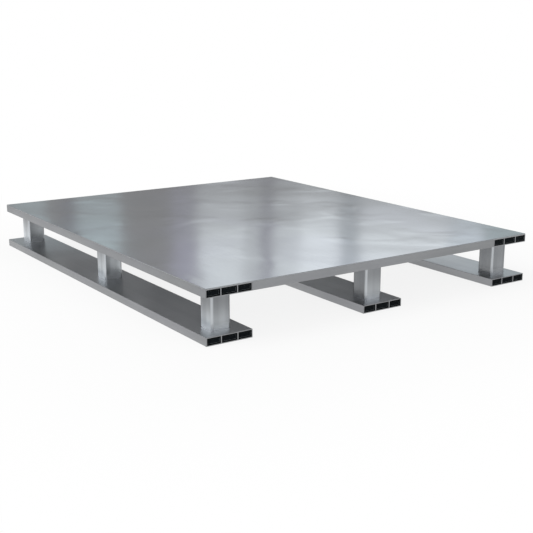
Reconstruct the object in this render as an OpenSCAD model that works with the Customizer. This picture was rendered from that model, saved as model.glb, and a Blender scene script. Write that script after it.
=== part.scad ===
// Aluminium pallet with a closed deck.
// Three hollow runners lie on the floor. Nine square posts stand on them and carry a frame
// of hollow planks, and one thin sheet covers the frame. Black ribbed plugs close the open
// ends of the planks that run from front to back.
// The origin is at the middle of the pallet on the floor. +X runs along the front edge to
// the right, +Y from front to back along the runners, and +Z up.

/* [Pallet] */
// Width of the pallet, across the runners
pallet_w = 1000; // [700:10:1400]
// Length of the pallet, along the runners
pallet_l = 1200; // [900:10:1600]

/* [Hollow plank] */
// Width of a plank
plank_w = 120; // [96:1:160]
// Height of a plank
plank_h = 20; // [14:0.5:40]
// Thickness of the top and bottom walls
plank_skin = 1.8; // [1.2:0.1:3]
// Thickness of the two side walls
plank_side = 2; // [1.2:0.1:4]
// Thickness of the two webs between the cells
plank_web = 2.4; // [1.2:0.1:4]
// Distance between the middles of the two webs
web_pitch = 42.8; // [30:0.2:56]
// Radius of the four long outer edges
plank_edge_r = 0.5; // [0.3:0.1:1.2]
// Radius in the corners of the cells
cell_r = 1; // [0.4:0.1:2]

/* [Deck] */
// Thickness of the sheet on top of the frame
sheet_t = 2; // [1:0.5:5]
// Radius of the sheet's four corners, seen from above
sheet_corner_r = 1; // [0.5:0.5:10]
// Radius that eases the sheet's upper edges
sheet_edge_r = 0.5; // [0.2:0.1:0.8]

/* [Posts] */
// Side of a square post
post_side = 50; // [30:1:80]
// Wall thickness of a post
post_wall = 3; // [1.5:0.5:5]
// Outer corner radius of a post
post_corner_r = 5.5; // [5:0.5:12]
// Clear height between a runner and the deck frame
post_h = 88; // [70:1:140]

/* [End plugs] */
// Clearance between a plug and its cell, all round
plug_clear = 0.1; // [0.05:0.05:0.3]
// Depth of the plug's face behind the end of the plank
plug_recess = 0.4; // [0:0.1:2]
// Thickness of the plug's face plate
plug_face_t = 3; // [2:0.5:5]
// Chamfer round the plug's face
plug_chamfer = 0.5; // [0.2:0.1:1]
// Width of the flat rim round the sunk panel of the face
plug_rim = 2.8; // [2:0.1:3]
// Depth of the sunk panel
plug_panel_d = 1.2; // [0.4:0.1:1.4]
// How far the sloping walls of the panel run inwards
plug_panel_run = 0.6; // [0.2:0.1:0.8]
// Length of the plug's hollow shank behind the face plate
plug_shank_l = 16; // [16:0.5:30]
// Wall of the hollow shank
plug_shank_wall = 1.4; // [1:0.1:2]
// Number of grip ribs round the shank
plug_ribs = 4; // [2:1:4]
// Thickness of a grip rib
plug_rib_t = 0.9; // [0.6:0.1:1.4]
// How far the grip ribs stand out from the shank
plug_rib_h = 1.6; // [0.8:0.1:2.4]

/* [Hidden] */
$fn = 48;
// Overlap of cutting shapes past the faces that they cut
cut = 1;

// Levels above the floor
runner_top = plank_h;
frame_z = runner_top + post_h;
sheet_z = frame_z + plank_h;

// Middles of the outer runners, side planks and posts, seen from above
plank_x = (pallet_w - plank_w) / 2;
plank_y = (pallet_l - plank_w) / 2;
// A cross plank fits between the two side planks
cross_l = pallet_w - 2 * plank_w;

// Cells of the hollow plank
cell_h = plank_h - 2 * plank_skin;
mid_cell_w = web_pitch - plank_web;
side_cell_w = (plank_w - web_pitch - plank_web) / 2 - plank_side;
side_cell_x = (web_pitch + plank_web + side_cell_w) / 2;
// Middle and width of each cell, counted along +X
CELLS = [[-side_cell_x, side_cell_w], [0, mid_cell_w], [side_cell_x, side_cell_w]];

// Tones of the parts
sheet_tone = [0.72, 0.73, 0.76];
plank_tone = [0.66, 0.67, 0.70];
post_tone = [0.62, 0.64, 0.66];
plug_tone = [0.09, 0.10, 0.10];

// Rows and columns of the frame: a name and a place for each
COLUMNS = [["left", -plank_x], ["middle", 0], ["right", plank_x]];
SIDES = [COLUMNS[0], COLUMNS[2]];
ROWS = [["front", -plank_y], ["middle", 0], ["back", plank_y]];
CROSS_ROWS = [
    ["front", -plank_y],
    ["mid_front", -plank_y / 2],
    ["middle", 0],
    ["mid_back", plank_y / 2],
    ["back", plank_y]
];
// The two ends of a plank that runs from front to back: a name and the sign of Y
ENDS = [["front", -1], ["back", 1]];

function side_plank_name(side) = str("side_plank_", side[0]);
function cross_plank_name(row) = str("cross_plank_", row[0]);
function runner_name(column) = str("runner_", column[0]);
function post_name(row, column) = str("post_", row[0], "_", column[0]);
function plug_name(plank, end, cell) = str("plug_", plank, "_", end[0], "_", cell + 1);

// A rectangle with round corners, centred on the origin
module round_rect(w, h, r) {
    square([w - 2 * r, h], center = true);
    square([w, h - 2 * r], center = true);
    for (x = [-1, 1], y = [-1, 1])
        translate([x * (w / 2 - r), y * (h / 2 - r)])
            circle(r);
}

// The extruded section: an outer skin with two webs that leave three cells
module plank_section() {
    difference() {
        round_rect(plank_w, plank_h, plank_edge_r);
        for (cell = CELLS)
            translate([cell[0], 0])
                round_rect(cell[1], cell_h, cell_r);
    }
}

// A plank along Y, centred in X and Y, with its underside at z = 0
module plank(length) {
    translate([0, 0, plank_h / 2])
        rotate([90, 0, 0])
            linear_extrude(length, center = true)
                plank_section();
}

// Section across a sheet w wide that lies on y = 0, with its two upper edges eased
module eased_section(w) {
    translate([-w / 2, 0])
        square([w, sheet_t - sheet_edge_r]);
    translate([-w / 2 + sheet_edge_r, 0])
        square([w - 2 * sheet_edge_r, sheet_t]);
    for (x = [-1, 1])
        translate([x * (w / 2 - sheet_edge_r), sheet_t - sheet_edge_r])
            circle(sheet_edge_r);
}

// The sheet that makes the closed deck
module deck_sheet() {
    color(sheet_tone)
        translate([0, 0, sheet_z])
            intersection() {
                linear_extrude(sheet_t)
                    round_rect(pallet_w, pallet_l, sheet_corner_r);
                rotate([90, 0, 0])
                    linear_extrude(pallet_l + cut, center = true)
                        eased_section(pallet_w);
                rotate([90, 0, 90])
                    linear_extrude(pallet_w + cut, center = true)
                        eased_section(pallet_l);
            }
}

// One of the two planks along the sides of the deck frame
module side_plank(side) {
    color(plank_tone)
        translate([side[1], 0, frame_z])
            plank(pallet_l);
}

// One of the planks across the deck frame, welded between the side planks
module cross_plank(row) {
    color(plank_tone)
        translate([0, row[1], frame_z])
            rotate([0, 0, 90])
                plank(cross_l);
}

// One of the three planks that stand on the floor
module runner(column) {
    color(plank_tone)
        translate([column[1], 0, 0])
            plank(pallet_l);
}

// A square tube that stands on a runner and carries the deck frame
module post(row, column) {
    bore_side = post_side - 2 * post_wall;
    color(post_tone)
        translate([column[1], row[1], runner_top])
            linear_extrude(post_h)
                difference() {
                    round_rect(post_side, post_side, post_corner_r);
                    round_rect(bore_side, bore_side, post_corner_r - post_wall);
                }
}

// Outline of a slab across its depth, with a chamfer on both edges of its outer face
module chamfered_outline(w) {
    polygon([
        [-w / 2 + plug_chamfer, 0],
        [w / 2 - plug_chamfer, 0],
        [w / 2, plug_chamfer],
        [w / 2, plug_face_t],
        [-w / 2, plug_face_t],
        [-w / 2, plug_chamfer]
    ]);
}

// Outline of the sunk panel across its depth: w wide at the face, with sloping walls
module panel_outline(w) {
    polygon([
        [-w / 2, -cut],
        [w / 2, -cut],
        [w / 2, 0],
        [w / 2 - plug_panel_run, plug_panel_d],
        [-w / 2 + plug_panel_run, plug_panel_d],
        [-w / 2, 0]
    ]);
}

// The space of the sunk panel, w by h at the face
module sunk_panel(w, h) {
    intersection() {
        linear_extrude(h, center = true)
            panel_outline(w);
        rotate([0, 90, 0])
            linear_extrude(w, center = true)
                panel_outline(h);
    }
}

// Face plate of a plug in a cell w wide: y = 0 is its outer face, and +Y points inwards
module plug_face(w, h, r) {
    intersection() {
        rotate([-90, 0, 0])
            linear_extrude(plug_face_t)
                round_rect(w, h, r);
        linear_extrude(h + cut, center = true)
            chamfered_outline(w);
        rotate([0, 90, 0])
            linear_extrude(w + cut, center = true)
                chamfered_outline(h);
    }
}

// Hollow shank behind the face plate, open at its inner end, with the grip ribs round it
module plug_shank(w, h, r) {
    core_w = w - 2 * plug_rib_h;
    core_h = h - 2 * plug_rib_h;
    rib_pitch = plug_shank_l / plug_ribs;
    rotate([-90, 0, 0])
        difference() {
            union() {
                linear_extrude(plug_face_t + plug_shank_l)
                    round_rect(core_w, core_h, r);
                for (i = [1:plug_ribs])
                    translate([0, 0, plug_face_t + i * rib_pitch - plug_rib_t])
                        linear_extrude(plug_rib_t)
                            round_rect(w, h, r);
            }
            translate([0, 0, plug_face_t])
                linear_extrude(plug_shank_l + cut)
                    round_rect(core_w - 2 * plug_shank_wall, core_h - 2 * plug_shank_wall, r / 2);
        }
}

// A plug in one cell of a plank along Y, whose middle is at x and whose underside is at z
module end_plug(x, z, end, cell) {
    w = CELLS[cell][1] - 2 * plug_clear;
    h = cell_h - 2 * plug_clear;
    r = cell_r - plug_clear;
    face_y = end[1] * (pallet_l / 2 - plug_recess);
    turn = end[1] < 0 ? 0 : 180;
    color(plug_tone)
        translate([x + CELLS[cell][0], face_y, z + plank_h / 2])
            rotate([0, 0, turn])
                difference() {
                    union() {
                        plug_face(w, h, r);
                        plug_shank(w, h, r);
                    }
                    sunk_panel(w - 2 * plug_rim, h - 2 * plug_rim);
                }
}

deck_sheet();

for (side = SIDES)
    side_plank(side);

for (row = CROSS_ROWS)
    cross_plank(row);

for (column = COLUMNS)
    runner(column);

for (row = ROWS, column = COLUMNS)
    post(row, column);

for (side = SIDES, end = ENDS, cell = [0:2])
    end_plug(side[1], frame_z, end, cell);

for (column = COLUMNS, end = ENDS, cell = [0:2])
    end_plug(column[1], 0, end, cell);
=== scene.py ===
# %% [markdown]
# # An aluminium pallet with a closed deck
# A flat sheet lies on a frame of hollow planks, square posts carry the frame, and three more
# planks lie on the floor as runners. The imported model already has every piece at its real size
# and place. This script gives the pieces their finish, and sets up a plain studio round them.

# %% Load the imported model
import math

import bpy
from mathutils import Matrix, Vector


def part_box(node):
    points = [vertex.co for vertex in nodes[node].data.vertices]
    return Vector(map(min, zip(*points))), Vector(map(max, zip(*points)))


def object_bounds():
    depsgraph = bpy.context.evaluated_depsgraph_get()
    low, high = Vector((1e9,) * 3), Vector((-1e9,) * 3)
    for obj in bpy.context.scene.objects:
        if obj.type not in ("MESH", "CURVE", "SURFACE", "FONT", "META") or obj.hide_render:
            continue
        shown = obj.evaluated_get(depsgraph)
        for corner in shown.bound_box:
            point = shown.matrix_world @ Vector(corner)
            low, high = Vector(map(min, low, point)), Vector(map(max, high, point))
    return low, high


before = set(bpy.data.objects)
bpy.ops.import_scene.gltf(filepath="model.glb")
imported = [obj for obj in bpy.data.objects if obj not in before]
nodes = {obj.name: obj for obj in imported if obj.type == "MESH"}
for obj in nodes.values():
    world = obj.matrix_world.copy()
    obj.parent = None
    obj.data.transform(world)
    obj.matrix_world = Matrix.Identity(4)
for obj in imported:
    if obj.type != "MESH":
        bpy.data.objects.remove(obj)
cad_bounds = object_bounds()


def named(kind):
    """The names of all pieces of one kind, in a fixed order."""
    return [name for name in sorted(nodes) if name.startswith(kind)]


print("pieces:", len(nodes), "of them posts:", len(named("post")), "and plugs:", len(named("plug")))
print("box:", [tuple(round(v, 3) for v in corner) for corner in cad_bounds])

# %% [markdown]
# ## The camera
# The pallet was fitted corner by corner to the photograph: the camera looks down by 14 degrees and
# stands to the left of the front, so that the long left side and the short front both show.
# Its lens follows from the same fit, for a square picture and Blender's 36 mm sensor.

# %% Place the camera
CAMERA_PLACE = (-1.531, -2.339, 0.684)
CAMERA_PITCH = 14.04
CAMERA_TURN = 34.35
CAMERA_LENS = 66.36
SENSOR_WIDTH = 36

camera_data = bpy.data.cameras.new("camera")
camera_data.lens = CAMERA_LENS
camera_data.sensor_width = SENSOR_WIDTH
camera = bpy.data.objects.new("camera", camera_data)
camera.location = CAMERA_PLACE
camera.rotation_euler = (math.radians(90 - CAMERA_PITCH), 0, math.radians(-CAMERA_TURN))
bpy.context.scene.collection.objects.link(camera)
bpy.context.scene.camera = camera
print("camera", round(Vector(CAMERA_PLACE).length, 2), "m from the middle of the pallet")

# %% [markdown]
# ## Helpers for shader nodes
# Every finish below is a network of shader nodes, which could be drawn by hand in the node editor.
# In a script, short functions keep such networks readable. The first two add a node, and join
# two sockets.

# %% Add and join nodes


def add(tree, kind, **settings):
    """Adds a node. A setting is a property of the node, or the value of an input socket."""
    node = tree.nodes.new(kind)
    for key, value in settings.items():
        if key in node.inputs:
            node.inputs[key].default_value = value
        else:
            setattr(node, key, value)
    return node


def join(tree, source, target):
    """Links an output socket to an input socket, or writes a plain value into the input."""
    if isinstance(source, bpy.types.NodeSocket):
        tree.links.new(source, target)
    else:
        target.default_value = source


print("ready to add and join nodes")

# %% [markdown]
# A mask is a number from 0 to 1 that says how much of an effect a point gets. Masks come from
# places and noise by a few steps of arithmetic. A step that stretches a range has soft ends, so
# that no effect starts at a hard line.

# %% Steps of arithmetic


def calc(tree, operation, first, second=0.0, third=0.0, clamp=False):
    """One step of arithmetic on sockets or numbers."""
    node = add(tree, "ShaderNodeMath", operation=operation, use_clamp=clamp)
    for source, target in zip((first, second, third), node.inputs):
        join(tree, source, target)
    return node.outputs[0]


def place_calc(tree, operation, first, second=None):
    """One step of arithmetic on places. A single number counts for all three axes."""
    node = add(tree, "ShaderNodeVectorMath", operation=operation)
    join(tree, first, node.inputs[0])
    if second is not None:
        join(tree, second, node.inputs[1])
    return node.outputs[0]


print("ready to calculate with masks and places")

# %% Ranges and noise


def remap(tree, value, low, high, to_low=0.0, to_high=1.0, smooth=True):
    """Stretches low..high of a value to another range, with soft ends."""
    node = add(tree, "ShaderNodeMapRange", interpolation_type="SMOOTHSTEP" if smooth else "LINEAR")
    for source, target in zip((value, low, high, to_low, to_high), node.inputs):
        join(tree, source, target)
    return node.outputs[0]


def noise(tree, place, scale, detail=2.0, roughness=0.5, distortion=0.0):
    """A noise pattern from 0 to 1 at that many cells to the metre."""
    node = add(tree, "ShaderNodeTexNoise", Detail=detail, Roughness=roughness, Distortion=distortion)
    join(tree, place, node.inputs["Vector"])
    join(tree, scale, node.inputs["Scale"])
    return node.outputs["Fac"]


print("ready to make masks from noise")

# %% [markdown]
# An effect that several materials share is a node group, built once and placed in each material
# with its own values. Copies of its nodes would do too, but a change would then have to be made
# in each of them. The groups put out masks only, and the shader stays in the material itself.

# %% Make a node group


def new_group(name, inputs, outputs):
    """Makes a shader node group. inputs and outputs are lists of (name, socket kind, default)."""
    tree = bpy.data.node_groups.new(name, "ShaderNodeTree")
    for direction, sockets in (("INPUT", inputs), ("OUTPUT", outputs)):
        for label, kind, default in sockets:
            socket = tree.interface.new_socket(label, in_out=direction, socket_type="NodeSocket" + kind)
            if default is not None:
                socket.default_value = default
    start = tree.nodes.new("NodeGroupInput")
    end = tree.nodes.new("NodeGroupOutput")
    return tree, start.outputs, end.inputs


print("ready to make node groups")

# %% [markdown]
# ## Drawn lines
# Aluminium planks and tubes are pressed through a die, which leaves faint lines from end to end.
# A picture of such metal would repeat along a plank, so the lines are noise that is squeezed
# across the piece and pulled far out along it. They are of three kinds: broad bands, streaks that
# show in the shine, and lines as fine as hairs. The group takes the direction as an input, so
# planks, posts and the sheet can share it.

# %% The group for drawn lines
# Each kind: its number to the metre, the detail and roughness of its noise, and where it starts
LINE_KINDS = {
    "Bands": (50, 1, 0.5, 0.35),
    "Streaks": (160, 3, 0.6, 0.30),
    "Hairs": (1400, 2, 0.5, 0.25),
}

lines_group, lines_in, lines_out = new_group(
    "drawn lines",
    [("Position", "Vector", None), ("Direction", "Vector", (1.0, 0.006, 1.0)), ("Seed", "Float", 0.0)],
    [(kind, "Float", None) for kind in LINE_KINDS],
)
pulled = place_calc(lines_group, "MULTIPLY", lines_in["Position"], lines_in["Direction"])
pulled = place_calc(lines_group, "ADD", pulled, lines_in["Seed"])
for kind, (per_metre, detail, roughness, start) in LINE_KINDS.items():
    pattern = noise(lines_group, pulled, per_metre, detail, roughness)
    join(lines_group, remap(lines_group, pattern, start, 1 - start), lines_out[kind])
print("drawn lines:", {kind: values[0] for kind, values in LINE_KINDS.items()}, "to the metre")

# %% [markdown]
# ## Clouding
# Bare aluminium is never one even grey. Rolling, washing and handling leave soft clouds a hand or
# two wide, some a little bluer and some a little duller. They could be painted on every piece by
# hand, but two sizes of distorted noise do it for all of them, and a third, far finer one gives a
# speckle. All three follow one size, which each finish sets.

# %% The group for clouding
# Each kind: its scale beside the group's size, its detail and distortion, and its range of noise
CLOUD_KINDS = {
    "Cloud": (1.0, 3, 0.6, 0.30, 0.70),
    "Tint": (0.6, 2, 1.2, 0.35, 0.65),
    "Speckle": (60.0, 3, 0.0, 0.35, 0.75),
}

cloud_group, cloud_in, cloud_out = new_group(
    "clouding",
    [("Position", "Vector", None), ("Size", "Float", 4.0), ("Seed", "Float", 0.0)],
    [(kind, "Float", None) for kind in CLOUD_KINDS],
)
cloud_place = place_calc(cloud_group, "ADD", cloud_in["Position"], cloud_in["Seed"])
for kind, (scale, detail, distortion, low, high) in CLOUD_KINDS.items():
    size = calc(cloud_group, "MULTIPLY", cloud_in["Size"], scale)
    pattern = noise(cloud_group, cloud_place, size, detail, distortion=distortion)
    join(cloud_group, remap(cloud_group, pattern, low, high), cloud_out[kind])
print("clouding:", list(CLOUD_KINDS))

# %% [markdown]
# ## Scratches
# Goods slide over a deck and leave short fine scratches in every direction. Cut into the mesh
# they would take millions of faces, so they are a mask too. Three layers of stretched noise,
# turned against each other and cut off high, leave only thin separate marks.

# %% The group for scratches
# Each layer: its turn in degrees, its scratches to the metre, and a shift that keeps layers apart
SCRATCH_LAYERS = ((25, 70, 2.0), (-50, 55, 5.0), (80, 90, 9.0))
SCRATCH_STRETCH = (1.0, 0.05, 1.0)
# A scratch starts where the noise passes this value, which an amount of 1 lowers by the gain
SCRATCH_START = 0.76
SCRATCH_GAIN = 0.08
# It is full where the noise is this much higher
SCRATCH_SOFT = 0.03

scratch_group, scratch_in, scratch_out = new_group(
    "scratches",
    [("Position", "Vector", None), ("Amount", "Float", 0.5)],
    [("Scratch", "Float", None)],
)
gain = calc(scratch_group, "MULTIPLY", scratch_in["Amount"], SCRATCH_GAIN)
start = calc(scratch_group, "SUBTRACT", SCRATCH_START, gain)
full = calc(scratch_group, "ADD", start, SCRATCH_SOFT)
scratches = 0.0
for turn, per_metre, shift in SCRATCH_LAYERS:
    turned = add(scratch_group, "ShaderNodeMapping")
    turned.inputs["Rotation"].default_value = (0, 0, math.radians(turn))
    turned.inputs["Location"].default_value = (shift, 0, 0)
    turned.inputs["Scale"].default_value = SCRATCH_STRETCH
    join(scratch_group, scratch_in["Position"], turned.inputs["Vector"])
    pattern = noise(scratch_group, turned.outputs[0], per_metre, 6, 0.7, distortion=0.15)
    scratches = calc(scratch_group, "MAXIMUM", scratches, remap(scratch_group, pattern, start, full))
join(scratch_group, scratches, scratch_out["Scratch"])
print("scratches in", len(SCRATCH_LAYERS), "layers")

# %% [markdown]
# ## Rubbed edges
# Handling rubs edges first, so they are brighter or duller than the faces beside them. Part of an
# edge's colour is painted light as well: a painted shadow line along the sheet, a painted highlight
# along the edges of the posts, and painted shade on the plank edges that damps a mirrored light line.
# Blender can find edges by Pointiness, but only on a dense mesh, and these have no more faces than
# their shapes need. So the group measures how far a point lies from the faces of a box of a known size.
# Where the second nearest face is close too, the point is near an edge. Noise makes the rubbed strip
# ragged.

# %% The group for rubbed edges
RAGS_PER_M = 90
RAG_RANGE = (0.3, 0.7)
# The strip's width at its narrowest and widest places, as shares of the width that is asked for
RAG_SHARES = (0.3, 1.6)


def axes(tree, place):
    """The X, Y and Z of a place."""
    node = add(tree, "ShaderNodeSeparateXYZ")
    join(tree, place, node.inputs[0])
    return node.outputs


edge_group, edge_in, edge_out = new_group(
    "rubbed edges",
    [("Position", "Vector", None), ("Half Size", "Vector", None), ("Width", "Float", 0.002)],
    [("Edge", "Float", None)],
)
depths = place_calc(edge_group, "ABSOLUTE", edge_in["Position"])
depths = place_calc(edge_group, "SUBTRACT", edge_in["Half Size"], depths)
depth_x, depth_y, depth_z = axes(edge_group, depths)
near_xy = calc(edge_group, "MINIMUM", depth_x, depth_y)
far_xy = calc(edge_group, "MAXIMUM", depth_x, depth_y)
second_depth = calc(edge_group, "MAXIMUM", near_xy, calc(edge_group, "MINIMUM", far_xy, depth_z))
rags = noise(edge_group, edge_in["Position"], RAGS_PER_M, 4)
rags = remap(edge_group, rags, *RAG_RANGE, *RAG_SHARES)
reach = calc(edge_group, "MULTIPLY", edge_in["Width"], rags)
join(edge_group, remap(edge_group, second_depth, 0.0, reach, 1.0, 0.0), edge_out["Edge"])
print("rubbed edges: ragged", RAGS_PER_M, "times to the metre")

# %% [markdown]
# ## The metal
# All the bare metal shares one recipe and differs only in its values: a base grey, how much each
# mask changes it, how rough it is, and which way its lines run. Its colour is built up like
# paint: a base colour first, and then one thin layer after another, each held back by a mask.

# %% Layers of colour


def shade(colour, factor):
    """The same colour, lighter or darker."""
    return tuple(min(1.0, part * factor) for part in colour)


def mix_colour(tree, mask, first, second):
    """Mixes two colours. A mix node keeps its colour sockets last of all its kinds of value."""
    node = add(tree, "ShaderNodeMix", data_type="RGBA")
    join(tree, mask, node.inputs[0])
    for source, target in ((first, node.inputs[6]), (second, node.inputs[7])):
        join(tree, source if isinstance(source, bpy.types.NodeSocket) else (*source, 1), target)
    return node.outputs[2]


def lay_over(tree, base, mask, share, colour):
    """Lays a colour over the base where the mask is high, and never by more than the share."""
    return mix_colour(tree, calc(tree, "MULTIPLY", mask, share), base, colour)


print("ready to lay colours over each other")

# %% [markdown]
# The four groups give a piece its masks, and each mask lays its colour. The underside comes last: on
# the real pallet it mirrors the white floor, so here it gets a painted reflection, a lighter colour of
# its own.

# %% The masks of a piece
CLOUD_SEED = 0.5


def use_group(tree, group, **inputs):
    """Places a node group in a material. Each keyword is an input's name with _ for a space."""
    node = tree.nodes.new("ShaderNodeGroup")
    node.node_tree = group
    for label, source in inputs.items():
        join(tree, source, node.inputs[label.replace("_", " ")])
    return node.outputs


def metal_masks(tree, place, half, finish, direction, seed):
    """Places the four groups on a piece, and returns all their masks by name."""
    masks = {}
    for group, inputs in (
        (lines_group, {"Direction": direction, "Seed": seed}),
        (cloud_group, {"Size": finish["cloud_size"], "Seed": seed + CLOUD_SEED}),
        (scratch_group, {"Amount": finish["scratches"]}),
        (edge_group, {"Half_Size": half, "Width": finish["edge_width"]}),
    ):
        masks.update(use_group(tree, group, Position=place, **inputs).items())
    return masks


print("ready to give a piece its masks")

# %% The colour of bare metal
TINT_SHARE = 0.6
SCRATCH_SHARE = 0.35
# How light the drawn lines and the scratches are beside the grey
BAND_SHADE = 1.25
STREAK_SHADE = 1.16
SCRATCH_SHADE = 1.35
# The underside's painted reflection fades in between these heights above the lowest face, on the
# rounded edge
UNDER_START = 0.0006
UNDER_END = 0.0001


def metal_colour(tree, masks, place, half, finish):
    """Clouds, drawn lines, edges that are partly worn and partly painted light, scratches, and last the
    painted reflection of the underside, each laid over what is there already.
    """
    grey = finish["grey"]
    base = mix_colour(tree, masks["Cloud"], shade(grey, 1 - finish["clouding"]), grey)
    base = lay_over(tree, base, masks["Tint"], TINT_SHARE, finish["tint"])
    base = lay_over(tree, base, masks["Bands"], finish["bands"], shade(grey, BAND_SHADE))
    base = lay_over(tree, base, masks["Streaks"], finish["streaks"], shade(grey, STREAK_SHADE))
    # An edge's own colour is partly wear and partly painted light or painted shade
    base = lay_over(tree, base, masks["Edge"], finish["edges"], shade(grey, finish["edge_shade"]))
    base = lay_over(tree, base, masks["Scratch"], SCRATCH_SHARE, shade(grey, SCRATCH_SHADE))
    # Painted reflection: the underside turns lighter, as the white floor would show in it
    under = remap(tree, axes(tree, place)["Z"], UNDER_START - half.z, UNDER_END - half.z)
    return mix_colour(tree, under, base, finish["underside"])


print("streaks are", STREAK_SHADE, "and bands", BAND_SHADE, "times as light as the grey")

# %% [markdown]
# Roughness and relief are sums: each mask adds its share. Light clouds are a little smoother than
# the darker metal between them, and hairs, scratches and edges are rougher. The lines stand a few
# thousandths of a millimetre high, which isn't modelled: a Bump node tilts the light instead. The
# same node makes the slow waves and ripples of a thin sheet, which bend what it mirrors.

# %% The roughness of bare metal
ROUGH_SHARES = {"Cloud": -0.05, "Hairs": 0.05, "Speckle": 0.03, "Scratch": 0.10, "Edge": 0.15}


def add_shares(tree, masks, shares, total):
    """Adds the share of each mask to a total."""
    for mask, share in shares.items():
        total = calc(tree, "MULTIPLY_ADD", masks[mask], share, total)
    return total


print("rubbed edges are rougher by", ROUGH_SHARES["Edge"])

# %% The relief of bare metal
RELIEF_SHARES = {"Hairs": 0.0000015, "Streaks": 0.000006, "Scratch": -0.000008}
WAVES_PER_M = 3.2
RIPPLES_PER_M = 12
RIPPLE_DISTORTION = 0.4
# Ripples come in patches, which fade in over this range of their noise
PATCHES_PER_M = 5
PATCH_RANGE = (0.5, 0.68)


def metal_relief(tree, masks, place, finish):
    """The height of the surface in metres: slow waves, patches of ripples, lines and scratches."""
    patches = remap(tree, noise(tree, place, PATCHES_PER_M, 1), *PATCH_RANGE)
    ripples = noise(tree, place, RIPPLES_PER_M, 1, distortion=RIPPLE_DISTORTION)
    ripples = calc(tree, "MULTIPLY", ripples, patches)
    height = calc(tree, "MULTIPLY", noise(tree, place, WAVES_PER_M, 1), finish["wave"])
    height = calc(tree, "MULTIPLY_ADD", ripples, finish["ripple"], height)
    return add_shares(tree, masks, RELIEF_SHARES, height)


def add_relief(tree, height, surface):
    """Lets a height in metres tilt the normals of a surface."""
    bump = add(tree, "ShaderNodeBump", Strength=1.0, Distance=1.0)
    join(tree, height, bump.inputs["Height"])
    join(tree, bump.outputs["Normal"], surface.inputs["Normal"])


print("streaks stand", RELIEF_SHARES["Streaks"] * 1000, "mm high")

# %% [markdown]
# ## Painted reflections on the posts
# On the real pallet the posts grow brighter towards the foot, and two of each post's rounded corners
# shine while the other two stay dark. That comes from all that they mirror. A plain studio gives less
# of it, so it is painted into the base colour: a painted reflection that is lightest near the foot and
# striped by the bands, a painted highlight on two corners and painted shade on the other two. It
# follows the place on the post and not the view, so it stays put from every side.

# %% Where a post gets its painted reflection
# The outer side faces of the posts lie this far from the middle of the pallet
POST_REACH = max(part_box(name)[1].x for name in named("post"))
# The painted reflection of a face fades in between these depths behind it, so the other faces have none
REFLECTION_FADE_DEPTH = 0.006
REFLECTION_FULL_DEPTH = 0.002


def painted_reflection_faces(tree, pallet_place, post_place, half, reflection_paint):
    """How much painted reflection a post gets: most at the foot, and only on its outer side and its two
    ends.
    """
    fade_height, side_share, end_share = reflection_paint
    outer_x = axes(tree, pallet_place)["X"]
    _, end_y, up = axes(tree, post_place)
    painted_layer = 0.0
    for across, reach, share in ((outer_x, POST_REACH, side_share), (end_y, half.y, end_share)):
        outside = calc(tree, "ABSOLUTE", across)
        facing = remap(tree, outside, reach - REFLECTION_FADE_DEPTH, reach - REFLECTION_FULL_DEPTH, 0.0, share)
        painted_layer = calc(tree, "MAXIMUM", painted_layer, facing)
    return calc(tree, "MULTIPLY", painted_layer, remap(tree, up, -half.z, fade_height - half.z, 1.0, 0.0))


print("outer post faces", round(POST_REACH, 3), "m from the middle")

# %% Where the corners of a post get a painted highlight or painted shade
# A corner is where both faces are close: fully within the first depth, and up to the second
CORNER_FULL = 0.0025
CORNER_END = 0.0065


def painted_corner_light(tree, place, half):
    """The painted light of a post's rounded corners: 1, a painted highlight, at its left front and
    right back, and -1, painted shade, on the other two.
    """
    across, along, _ = axes(tree, place)
    depth_x = calc(tree, "SUBTRACT", half.x, calc(tree, "ABSOLUTE", across))
    depth_y = calc(tree, "SUBTRACT", half.y, calc(tree, "ABSOLUTE", along))
    depth = calc(tree, "MAXIMUM", depth_x, depth_y)
    on_corner = remap(tree, depth, CORNER_FULL, CORNER_END, 1.0, 0.0)
    side = calc(tree, "SIGN", calc(tree, "MULTIPLY", across, along))
    return calc(tree, "MULTIPLY", on_corner, side)


print("corners shine up to", CORNER_END, "m in from the faces")

# %% The colours of the painted light on the posts
PAINTED_REFLECTION = (0.67, 0.71, 0.74)
PAINTED_REFLECTION_CONTRAST = 0.12
# The last bit above the runner gets the most painted light, up to FOOT_END and fully up to FOOT_FULL
FOOT_END = 0.018
FOOT_FULL = 0.002
PAINTED_FOOT_REFLECTION = (0.93, 0.96, 0.99)
PAINTED_FOOT_LIGHT = (0.70, 0.72, 0.74)
CORNER_SHARE = 0.7
PAINTED_CORNER_HIGHLIGHT = (0.64, 0.67, 0.70)
PAINTED_CORNER_SHADE = 0.5


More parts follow.
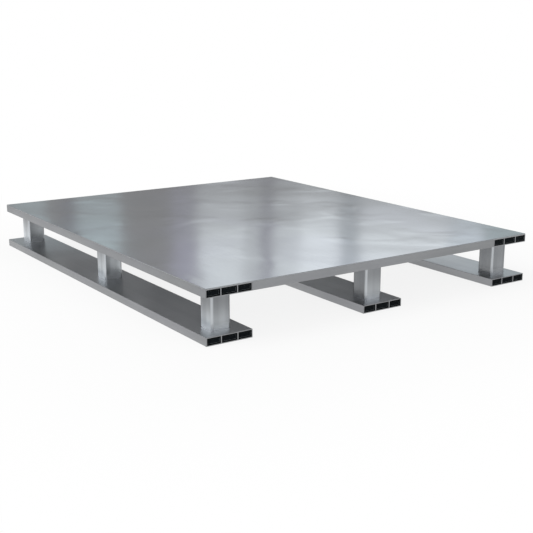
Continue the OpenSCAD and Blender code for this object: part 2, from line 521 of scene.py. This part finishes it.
def paint_post_light(tree, base, bands, pallet_place, post_place, half, grey, reflection_paint):
    """Lays the painted light of the foot, the painted reflection and the painted highlight and shade of
    the corners over a post's colour.
    """
    up = axes(tree, post_place)["Z"]
    foot = remap(tree, up, FOOT_FULL - half.z, FOOT_END - half.z, 1.0, 0.0)
    base = mix_colour(tree, foot, base, PAINTED_FOOT_LIGHT)
    # The bands stripe the painted reflection lighter and darker
    darker, lighter = (shade(PAINTED_REFLECTION, 1 - PAINTED_REFLECTION_CONTRAST), shade(PAINTED_REFLECTION, 1 + PAINTED_REFLECTION_CONTRAST))
    painted_layer = mix_colour(tree, foot, mix_colour(tree, bands, darker, lighter), PAINTED_FOOT_REFLECTION)
    base = mix_colour(tree, painted_reflection_faces(tree, pallet_place, post_place, half, reflection_paint), base, painted_layer)
    corner = painted_corner_light(tree, post_place, half)
    corner_highlight = calc(tree, "MULTIPLY", corner, CORNER_SHARE, clamp=True)
    corner_shade = calc(tree, "MULTIPLY", corner, -CORNER_SHARE, clamp=True)
    base = mix_colour(tree, corner_highlight, base, PAINTED_CORNER_HIGHLIGHT)
    return mix_colour(tree, corner_shade, base, shade(grey, PAINTED_CORNER_SHADE))


# The posts' feet get painted light up to this height above the runner
print("posts are polished up to", FOOT_END, "m above the runner")

# %% [markdown]
# ## The recipe
# Now the steps come together. Each piece gets a material of its own, in which a Mapping node
# centres the pattern on the piece, so that the rubbed edges fall where the edges are. Each piece
# has a seed of its own too, so that no two look alike. One material for all would be simpler,
# but then the pattern would run on from piece to piece, as if they were cut from one block.

# %% Start a material, and put it on a piece


def new_material(name):
    """Makes a material, and returns it with its node tree and its Principled BSDF."""
    material = bpy.data.materials.new(name)
    material.use_nodes = True
    return material, material.node_tree, material.node_tree.nodes["Principled BSDF"]


def object_place(tree):
    """Where a point lies on its object. For the CAD pieces that is its place on the pallet."""
    return add(tree, "ShaderNodeTexCoord").outputs["Object"]


def wear(piece, material):
    """Puts a material on a piece."""
    for slot in nodes[piece].material_slots:
        slot.material = material


print("ready to make materials")

# %% The recipe for bare aluminium
SEED_STEP = 3.7
SHEET_SEED = 1.0
seeds = {name: number * SEED_STEP for number, name in enumerate(sorted(nodes))}
seeds["deck_sheet"] = SHEET_SEED


def metal(piece, finish, direction, reflection_paint=None):
    """A bare aluminium material for one piece. A post's painted reflection is set by its height and its
    two shares.
    """
    material, tree, surface = new_material(piece)
    surface.inputs["Metallic"].default_value = 1.0
    low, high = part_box(piece)
    half = (high - low) / 2
    pallet_place = object_place(tree)
    centred = add(tree, "ShaderNodeMapping")
    centred.inputs["Location"].default_value = -(low + high) / 2
    join(tree, pallet_place, centred.inputs["Vector"])
    place = centred.outputs["Vector"]

    masks = metal_masks(tree, place, half, finish, direction, seeds[piece])
    base = metal_colour(tree, masks, place, half, finish)
    if reflection_paint:
        base = paint_post_light(tree, base, masks["Bands"], pallet_place, place, half, finish["grey"], reflection_paint)
    join(tree, base, surface.inputs["Base Color"])
    join(tree, add_shares(tree, masks, ROUGH_SHARES, finish["rough"]), surface.inputs["Roughness"])
    add_relief(tree, metal_relief(tree, masks, place, finish), surface)
    return material


print("seeds for", len(seeds), "pieces")

# %% [markdown]
# ## The deck sheet
# The sheet is rolled, so it has faint streaks and no bands. It is the smoothest piece, and mirrors its
# surroundings as long soft stripes. Its waves and ripples bend the stripes into wisps. In a finish,
# wave and ripple are heights in metres, clouding is how much darker the metal is between the clouds,
# and edges is how far an edge takes its own shade. On the sheet that shade is darker, a painted shadow
# line along its rim.

# %% The sheet
ALONG_X = (0.006, 1.0, 1.0)
ALONG_Y = (1.0, 0.006, 1.0)
ALONG_Z = (1.0, 1.0, 0.02)
SHEET = {
    "grey": (0.325, 0.338, 0.352),
    "tint": (0.305, 0.312, 0.345),
    # A lighter underside: a painted reflection of the floor
    "underside": (0.58, 0.59, 0.60),
    "rough": 0.145,
    "cloud_size": 3.6,
    "clouding": 0.2,
    "bands": 0.0,
    "streaks": 0.08,
    "scratches": 0.6,
    "edges": 0.7,
    # Darker edges: a painted shadow line along the rim of the sheet
    "edge_shade": 0.6,
    "edge_width": 0.0015,
    "wave": 0.0022,
    "ripple": 0.0007,
}
wear("deck_sheet", metal("deck_sheet", SHEET, ALONG_Y))
print("sheet finished, roughness", SHEET["rough"])

# %% [markdown]
# ## The planks and the runners
# The planks are pressed, so their lines are plain to see, and they are duller than the sheet. The
# runners are the same planks, and only look a little lighter than those in the frame.

# %% The planks and the runners
PLANK = {
    "grey": (0.325, 0.333, 0.342),
    "tint": (0.315, 0.318, 0.340),
    # A lighter underside: a painted reflection of the floor
    "underside": (0.50, 0.51, 0.52),
    "rough": 0.34,
    "cloud_size": 6.0,
    "clouding": 0.1,
    "bands": 0.2,
    "streaks": 0.35,
    "scratches": 0.5,
    "edges": 0.5,
    # Duller edges: partly wear, partly painted shade that damps a mirrored light line
    "edge_shade": 0.88,
    "edge_width": 0.0016,
    "wave": 0.00005,
    "ripple": 0.00005,
}
FRAME_PLANK = {**PLANK, "grey": (0.295, 0.303, 0.312), "tint": (0.285, 0.290, 0.312)}
PLANK_KINDS = (
    ("cross_plank", FRAME_PLANK, ALONG_X),
    ("side_plank", FRAME_PLANK, ALONG_Y),
    ("runner", PLANK, ALONG_Y),
)
for kind, finish, direction in PLANK_KINDS:
    for name in named(kind):
        wear(name, metal(name, finish, direction))
    print(kind, len(named(kind)))

# %% [markdown]
# ## The posts
# The posts are square tubes with round corners and upright lines. Their strong bands and light edges
# are partly painted reflection and painted highlight. The painted reflection rises to another height in
# each row, and the end faces of the front row have less of it the further right they stand.

# %% The posts
POST = {
    "grey": (0.240, 0.248, 0.257),
    "tint": (0.232, 0.244, 0.262),
    # A lighter underside: a painted reflection of the floor
    "underside": (0.260, 0.268, 0.277),
    "rough": 0.30,
    "cloud_size": 12.0,
    "clouding": 0.1,
    # Strong bands: partly drawn lines, partly painted reflection stripes
    "bands": 0.6,
    "streaks": 0.35,
    "scratches": 0.3,
    "edges": 0.5,
    # Lighter edges: partly wear, partly a painted highlight
    "edge_shade": 1.35,
    "edge_width": 0.001,
    "wave": 0.00005,
    "ripple": 0.00005,
}
PAINTED_REFLECTION_HEIGHTS = {"front": 0.07, "middle": 0.10, "back": 0.09}
# The middle posts lie too far inside for this share to show
SIDE_SHARES = {"left": 1.0, "middle": 1.0, "right": 0.8}
FRONT_SHARES = {"left": 0.6, "middle": 0.45, "right": 0.15}
# The end faces of the two rows behind the front one
INNER_SHARE = 1.0

for name in named("post"):
    _, row, side = name.split("_")
    end_share = FRONT_SHARES[side] if row == "front" else INNER_SHARE
    reflection_paint = (PAINTED_REFLECTION_HEIGHTS[row], SIDE_SHARES[side], end_share)
    wear(name, metal(name, POST, ALONG_Z, reflection_paint))
print("posts", len(named("post")))

# %% [markdown]
# ## The plugs
# The plugs are moulded from black plastic. The rim round each face is smooth and stays black, and the
# sunk panel inside it has a fine grain and holds a little dust, so it looks a shade lighter. The
# sloping wall between them carries a grey painted highlight. Three materials on chosen faces would meet
# in hard lines. All of this shows at the ends of the pallet only, so the depth behind the end can tell
# the three apart in one material.

# %% Where the parts of a plug's face lie
# How far the rim and the floor of the panel lie behind the end of the pallet
RIM_BACK = 0.0009
PANEL_BACK = 0.00155
SLOPE_GAIN = 3.0
GRAINS_PER_M = 1800

plastic, tree, surface = new_material("black plastic")
place = object_place(tree)
end_depth = calc(tree, "SUBTRACT", cad_bounds[1].y, calc(tree, "ABSOLUTE", axes(tree, place)["Y"]))
in_panel = remap(tree, end_depth, RIM_BACK, PANEL_BACK)
on_slope = calc(tree, "MULTIPLY", in_panel, calc(tree, "SUBTRACT", 1.0, in_panel))
on_slope = calc(tree, "MULTIPLY", on_slope, SLOPE_GAIN, clamp=True)
grain = noise(tree, place, GRAINS_PER_M)
print("rim and panel are told apart over", round((PANEL_BACK - RIM_BACK) * 1000, 2), "mm of depth")

# %% The black plastic
RIM_BLACK = (0.0014, 0.0020, 0.0025)
PANEL_BLACK = (0.0055, 0.0080, 0.0100)
PANEL_CLOUDING = 0.2
PANEL_CLOUD_SIZE = 40.0
PANEL_SEED = 2.0
# A painted highlight on the sloping wall, where it would catch the light
PAINTED_SLOPE_HIGHLIGHT = (0.32, 0.36, 0.38)
DUST = (0.04, 0.04, 0.038)
DUST_SHARE = 0.12
RIM_ROUGH = 0.36
PANEL_ROUGHER = 0.12
GRAIN_ROUGHER = 0.15
GRAIN_HEIGHT = 0.00004
PLASTIC_SPECULAR = 0.03

clouds = use_group(tree, cloud_group, Position=place, Size=PANEL_CLOUD_SIZE, Seed=PANEL_SEED)
base = mix_colour(tree, clouds["Cloud"], shade(PANEL_BLACK, 1 - PANEL_CLOUDING), PANEL_BLACK)
base = lay_over(tree, base, clouds["Speckle"], DUST_SHARE, DUST)
base = mix_colour(tree, in_panel, RIM_BLACK, base)
# The painted highlight on the sloping wall
base = mix_colour(tree, on_slope, base, PAINTED_SLOPE_HIGHLIGHT)
join(tree, base, surface.inputs["Base Color"])
rough = calc(tree, "MULTIPLY_ADD", in_panel, PANEL_ROUGHER, RIM_ROUGH)
rough = calc(tree, "MULTIPLY_ADD", grain, GRAIN_ROUGHER, rough)
join(tree, rough, surface.inputs["Roughness"])
surface.inputs["Specular IOR Level"].default_value = PLASTIC_SPECULAR
panel_grain = calc(tree, "MULTIPLY", grain, in_panel)
add_relief(tree, calc(tree, "MULTIPLY", panel_grain, GRAIN_HEIGHT), surface)
for name in named("plug"):
    wear(name, plastic)
print("plastic on", len(named("plug")), "plugs")

# %% [markdown]
# ## The floor
# The floor is a plain white board. On its own it would never be as white as the background, so
# only near the pallet does the real light shade it, which keeps the soft shadow. Further out it
# turns into the even white, for the camera and for all that metal or glass would show of it.

# %% Two helpers for the studio


def sees_background(tree):
    """1 for the rays of the camera, of reflections and of glass, and 0 for those that only light."""
    rays = add(tree, "ShaderNodeLightPath").outputs
    seen = calc(tree, "MAXIMUM", rays["Is Camera Ray"], rays["Is Glossy Ray"])
    return calc(tree, "MAXIMUM", seen, rays["Is Transmission Ray"])


def show_mixed(tree, factor, first, second):
    """Takes a mix of two shaders for the whole material."""
    tree.nodes.remove(tree.nodes["Principled BSDF"])
    mixed = add(tree, "ShaderNodeMixShader")
    for source, target in zip((factor, first.outputs[0], second.outputs[0]), mixed.inputs):
        join(tree, source, target)
    join(tree, mixed.outputs[0], tree.nodes["Material Output"].inputs["Surface"])


print("ready to build the studio")

# %% Make the floor
FLOOR_SIZE = 60
FLOOR_WHITE = (0.93, 0.93, 0.93, 1)
FADE_REACH = 0.8
# How much of the even white there is right at the pallet
SHADOW_LIFT = 0.85

for item in bpy.context.selected_objects:
    item.select_set(False)
bpy.ops.mesh.primitive_plane_add(size=FLOOR_SIZE, location=(0, 0, 0))
floor = bpy.context.object
floor.name = "floor"
floor_finish, tree, _ = new_material("floor")
across, along, _ = axes(tree, object_place(tree))
past_x = calc(tree, "SUBTRACT", calc(tree, "ABSOLUTE", across), cad_bounds[1].x)
past_y = calc(tree, "SUBTRACT", calc(tree, "ABSOLUTE", along), cad_bounds[1].y)
past_x = calc(tree, "MAXIMUM", past_x, 0.0)
past_y = calc(tree, "MAXIMUM", past_y, 0.0)
square = calc(tree, "MULTIPLY_ADD", past_x, past_x, calc(tree, "MULTIPLY", past_y, past_y))
fade = remap(tree, calc(tree, "SQRT", square), 0.0, FADE_REACH)
fade = remap(tree, fade, 0.0, 1.0, SHADOW_LIFT, 1.0, smooth=False)
board = add(tree, "ShaderNodeBsdfDiffuse", Color=FLOOR_WHITE)
glow = add(tree, "ShaderNodeEmission", Color=(1, 1, 1, 1), Strength=1.0)
show_mixed(tree, calc(tree, "MULTIPLY", fade, sees_background(tree)), board, glow)
floor.data.materials.append(floor_finish)
print("floor fades to white over", FADE_REACH, "m past the pallet")

# %% [markdown]
# ## The studio
# Metal looks like what it mirrors. A deck seen at a low angle mirrors the far side of the room,
# so the room needs something to mirror: a ring of tall soft panels, some lit and some grey. A
# round picture of a room could stand there too, but panels can be moved and dimmed one by one.
# The ring shows only in reflections, and all other rays pass through it.

# %% The panels
# Tints of the panels, as the room's own colours would give them
NEUTRAL = (1.0, 1.0, 1.01)
WHITE = (0.95, 1.0, 1.035)
BLUE = (0.915, 1.0, 1.07)
CYAN = (0.850, 1.0, 1.04)
VIOLET = (1.000, 1.0, 1.17)
# Each panel: its direction in degrees clockwise from +Y, its width in degrees, its brightness and tint
PANELS = (
    (16.0, 3.0, 1.05, CYAN),
    (19.2, 1.2, 0.35, VIOLET),
    (21.4, 3.4, 1.08, CYAN),
    (28.1, 2.0, 0.66, VIOLET),
    (31.2, 4.0, 1.40, WHITE),
    (33.8, 1.4, 1.10, WHITE),
    (35.0, 1.2, 0.52, VIOLET),
    (36.4, 2.2, 1.30, WHITE),
    (39.1, 3.4, 1.72, WHITE),
    (41.4, 1.5, 0.90, BLUE),
    (45.8, 7.3, 1.60, WHITE),
    (50.7, 2.6, 1.40, BLUE),
    (56.0, 8.0, 0.95, CYAN),
    (80, 14, 1.40, WHITE),
    (110, 10, 1.10, WHITE),
    (148, 24, 1.70, WHITE),
    (190, 12, 1.50, WHITE),
    (208, 6, 0.80, BLUE),
    (236, 30, 1.75, WHITE),
    (270, 12, 0.90, BLUE),
    (296, 8, 1.40, WHITE),
    (328, 22, 1.90, WHITE),
    (355, 8, 1.20, WHITE),
)
print("panels:", len(PANELS), "over", round(sum(panel[1] for panel in PANELS)), "degrees")

# %% Make the ring
RING_RADIUS = 8
RING_HEIGHT = 5
RING_SIDES = 180

bpy.ops.mesh.primitive_cylinder_add(
    vertices=RING_SIDES,
    radius=RING_RADIUS,
    depth=RING_HEIGHT,
    end_fill_type="NOTHING",
    location=(0, 0, RING_HEIGHT / 2),
)
ring = bpy.context.object
ring.name = "studio_ring"
ring_finish, tree, _ = new_material("studio ring")
across, along, up = axes(tree, object_place(tree))
angle = calc(tree, "DEGREES", calc(tree, "ARCTAN2", across, along))
angle = calc(tree, "WRAP", angle, 360.0, 0.0)
above_floor = calc(tree, "ADD", up, RING_HEIGHT / 2)
print("ring", 2 * RING_RADIUS, "m wide")

# %% [markdown]
# One material holds all the panels. It starts from the plain ring, and each panel is mixed in
# over what is there, between its two soft sides. Near the floor they all fade into a darker foot.

# %% Light the panels
PANEL_SOFT = 0.8
# The ring between the panels, and near the floor
RING_PLAIN = (0.48, NEUTRAL)
RING_FOOT = (0.32, NEUTRAL)
# The panels brighten from the height of their feet up to this height
PANEL_FOOT = 1.0
PANEL_FULL = 2.5


def light(brightness, tint):
    """The colour of a panel, which may be brighter than white."""
    return tuple(brightness * part for part in tint)


def inside(direction, width):
    """1 within a panel, and 0 outside it, with soft sides."""
    off = calc(tree, "ABSOLUTE", calc(tree, "SUBTRACT", angle, direction))
    return remap(tree, off, (width - PANEL_SOFT) / 2, (width + PANEL_SOFT) / 2, 1.0, 0.0)


glow = light(*RING_PLAIN)
for direction, width, brightness, tint in PANELS:
    glow = mix_colour(tree, inside(direction, width), glow, light(brightness, tint))
glow = mix_colour(tree, remap(tree, above_floor, PANEL_FOOT, PANEL_FULL), light(*RING_FOOT), glow)
panel_light = add(tree, "ShaderNodeEmission")
join(tree, glow, panel_light.inputs["Color"])
clear = add(tree, "ShaderNodeBsdfTransparent")
mirrored = add(tree, "ShaderNodeLightPath").outputs["Is Glossy Ray"]
show_mixed(tree, mirrored, clear, panel_light)
ring.data.materials.append(ring_finish)
print("brightest panel", max(panel[2] for panel in PANELS))

# %% [markdown]
# ## Light
# The world is a soft white dome, and one large lamp from the left adds a direction to the light.
# Together they give a level at which a colour renders about as it is written. The camera and
# the reflections see the dome as plain white.

# %% The dome
DOME_LEVEL = 0.72

world = bpy.data.worlds.new("dome")
bpy.context.scene.world = world
world.use_nodes = True
tree = world.node_tree
sky = tree.nodes["Background"]
sky.inputs["Color"].default_value = (1, 1, 1, 1)
level = remap(tree, sees_background(tree), 0, 1, DOME_LEVEL, 1.0, smooth=False)
join(tree, level, sky.inputs["Strength"])
print("dome at", DOME_LEVEL)

# %% The lamp
LAMP_PLACE = (-2.6, 0.6, 3.0)
LAMP_SIZE = 2.4
LAMP_WATTS = 45

lamp_data = bpy.data.lights.new("key", "AREA")
lamp_data.size = LAMP_SIZE
lamp_data.energy = LAMP_WATTS
lamp = bpy.data.objects.new("key", lamp_data)
lamp.location = LAMP_PLACE
lamp.rotation_mode = "QUATERNION"
lamp.rotation_quaternion = (-Vector(LAMP_PLACE)).to_track_quat("-Z", "Y")
bpy.context.scene.collection.objects.link(lamp)
bpy.context.scene.view_settings.view_transform = "Standard"
print("lamp of", LAMP_WATTS, "W,", LAMP_SIZE, "m wide")
